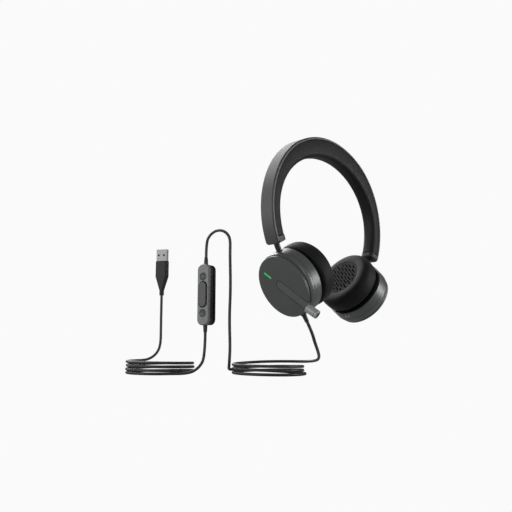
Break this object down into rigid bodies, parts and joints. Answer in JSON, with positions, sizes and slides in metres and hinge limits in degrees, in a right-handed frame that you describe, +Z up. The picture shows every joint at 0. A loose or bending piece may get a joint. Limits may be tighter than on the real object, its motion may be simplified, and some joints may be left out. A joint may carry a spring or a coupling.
{
  "type": "corded office headset",
  "caption": "Corded on-ear office headset with a padded headband, swivelling ear cups, a stowable microphone boom, an in-line control box and a USB-A plug.",
  "frame": {"origin": "underside of the headband pad at the crown, where the wearer's head meets it", "axes": "+X from the microphone cup to the plain cup, -Y the wearer's front, +Z up"},
  "size_m": [0.1735, 0.2229, 0.2117],
  "materials": {
    "cup_shell": "satin moulded",
    "cup_face": "fine satin",
    "dark_plastic": "fine matt",
    "cushion_leather": "soft leatherette",
    "driver_plastic": "matt",
    "magnet_steel": "plain",
    "arm_steel": "satin",
    "circuit_board": "solder mask",
    "cord_jacket": "matt jacket",
    "control_face": "satin moulded",
    "button_plastic": "satin",
    "green_light": "clear tinted",
    "light_bar": "clear tinted",
    "pin_steel": "plain",
    "plug_mould": "soft moulded",
    "plug_steel": "nickel plated",
    "tongue_plastic": "matt",
    "gold_contact": "gold plated",
    "band_shell": "satin soft touch",
    "pad_leather": "soft leatherette",
    "boom_face": "fine satin",
    "barrel_metal": "satin metallic",
    "battery_wrap": "film wrap"
  },
  "bodies": {
    "mic_cup": {"mic_cup_outer_shell": "cup_shell", "mic_cup_rear_ring": "cup_shell", "mic_cup_baffle": "dark_plastic", "mic_cup_cushion_plate": "dark_plastic", "mic_cup_cushion": "cushion_leather", "mic_cup_driver_frame": "driver_plastic", "mic_cup_driver_magnet": "magnet_steel", "mic_cup_circuit_board": "circuit_board", "mic_cup_gland": "cord_jacket", "cord_drop": "cord_jacket", "cord_coil_near": "cord_jacket", "cord_riser": "cord_jacket", "control_front_shell": "control_face", "control_rear_shell": "dark_plastic", "control_board": "circuit_board", "control_relief_top": "cord_jacket", "control_relief_bottom": "cord_jacket", "control_light": "green_light", "control_clip_pin": "pin_steel", "cord_lower": "cord_jacket", "cord_coil_far": "cord_jacket", "cord_plug_lead": "cord_jacket", "plug_overmould": "plug_mould", "plug_shell": "plug_steel", "plug_tongue": "tongue_plastic", "plug_contacts": "gold_contact"},
    "boom_cap": {"mic_cup_cap": "cup_face", "mic_cup_light": "light_bar"},
    "boom": {"boom_strip": "boom_face", "boom_barrel": "barrel_metal", "boom_capsule": "dark_plastic"},
    "call_button": {"control_call_button": "button_plastic"},
    "mute_button": {"control_mute_button": "button_plastic"},
    "volume_rocker": {"control_volume_rocker": "button_plastic"},
    "control_clip": {"control_clip": "dark_plastic"},
    "mic_pivot": {"mic_pivot": "dark_plastic"},
    "mic_arm": {"mic_arm": "arm_steel"},
    "headband": {"headband_shell": "band_shell", "headband_spring": "pin_steel", "headband_pad": "pad_leather", "mic_arm_guide": "dark_plastic", "plain_arm_guide": "dark_plastic", "headband_end_mic": "dark_plastic", "headband_end_plain": "dark_plastic"},
    "plain_arm": {"plain_arm": "arm_steel"},
    "plain_pivot": {"plain_pivot": "dark_plastic"},
    "plain_cup": {"plain_cup_outer_shell": "cup_shell", "plain_cup_rear_ring": "cup_shell", "plain_cup_baffle": "dark_plastic", "plain_cup_cushion_plate": "dark_plastic", "plain_cup_cushion": "cushion_leather", "plain_cup_driver_frame": "driver_plastic", "plain_cup_driver_magnet": "magnet_steel", "plain_cup_cap": "cup_face", "plain_cup_battery": "battery_wrap", "plain_cup_contact_1": "gold_contact", "plain_cup_contact_2": "gold_contact"}
  },
  "joints": [
    {"name": "mic_cup_tilt", "type": "hinge", "parent": "mic_cup", "child": "mic_pivot", "pos_m": [-0.06019, 0, -0.09813], "axis": [0.1047, 0.9925, 0.0624], "range_deg": [-4, 4]},
    {"name": "mic_cup_swivel", "type": "hinge", "parent": "mic_pivot", "child": "mic_arm", "pos_m": [-0.06531, 0, -0.08954], "axis": [0.512, 0, -0.859], "range_deg": [-15, 85]},
    {"name": "mic_arm_extend", "type": "hinge", "parent": "mic_arm", "child": "headband", "pos_m": [-0.0087, 0, -0.0558], "axis": [0, 1, 0], "range_deg": [-1.9, 15]},
    {"name": "plain_arm_extend", "type": "hinge", "parent": "headband", "child": "plain_arm", "pos_m": [0.0087, 0, -0.0558], "axis": [0, 1, 0], "range_deg": [-5.3, 12]},
    {"name": "plain_cup_swivel", "type": "hinge", "parent": "plain_arm", "child": "plain_pivot", "pos_m": [0.06327, 0, -0.09275], "axis": [-0.5606, 0, -0.8281], "range_deg": [-15, 85]},
    {"name": "plain_cup_tilt", "type": "hinge", "parent": "plain_pivot", "child": "plain_cup", "pos_m": [0.05766, 0, -0.10103], "axis": [-0.0779, -0.9956, 0.0528], "range_deg": [-4, 4]},
    {"name": "boom_turn", "type": "hinge", "parent": "mic_cup", "child": "boom_cap", "pos_m": [-0.05916, 0.00128, -0.12026], "axis": [0.8761, -0.1217, 0.4664], "range_deg": [-105, 205]},
    {"name": "boom_slide", "type": "slide", "parent": "boom_cap", "child": "boom", "axis": [0.217, -0.7644, -0.6072], "range_m": [0, 0.018]},
    {"name": "call_press", "type": "slide", "parent": "mic_cup", "child": "call_button", "axis": [0.9781, 0.2079, 0], "range_m": [0, 0.00035], "stiffness_N_per_m": 800},
    {"name": "mute_press", "type": "slide", "parent": "mic_cup", "child": "mute_button", "axis": [0.9781, 0.2079, 0], "range_m": [0, 0.00035], "stiffness_N_per_m": 800},
    {"name": "volume_rock", "type": "hinge", "parent": "mic_cup", "child": "volume_rocker", "pos_m": [-0.05188, 0.10467, -0.1194], "axis": [0.2079, -0.9781, 0], "range_deg": [-2, 2], "stiffness_Nm_per_rad": 0.1},
    {"name": "clip_open", "type": "hinge", "parent": "mic_cup", "child": "control_clip", "pos_m": [-0.04307, 0.10654, -0.0964], "axis": [0.2079, -0.9781, 0], "range_deg": [0, 10], "stiffness_Nm_per_rad": 0.1, "springref_deg": -17.19}
  ]
}
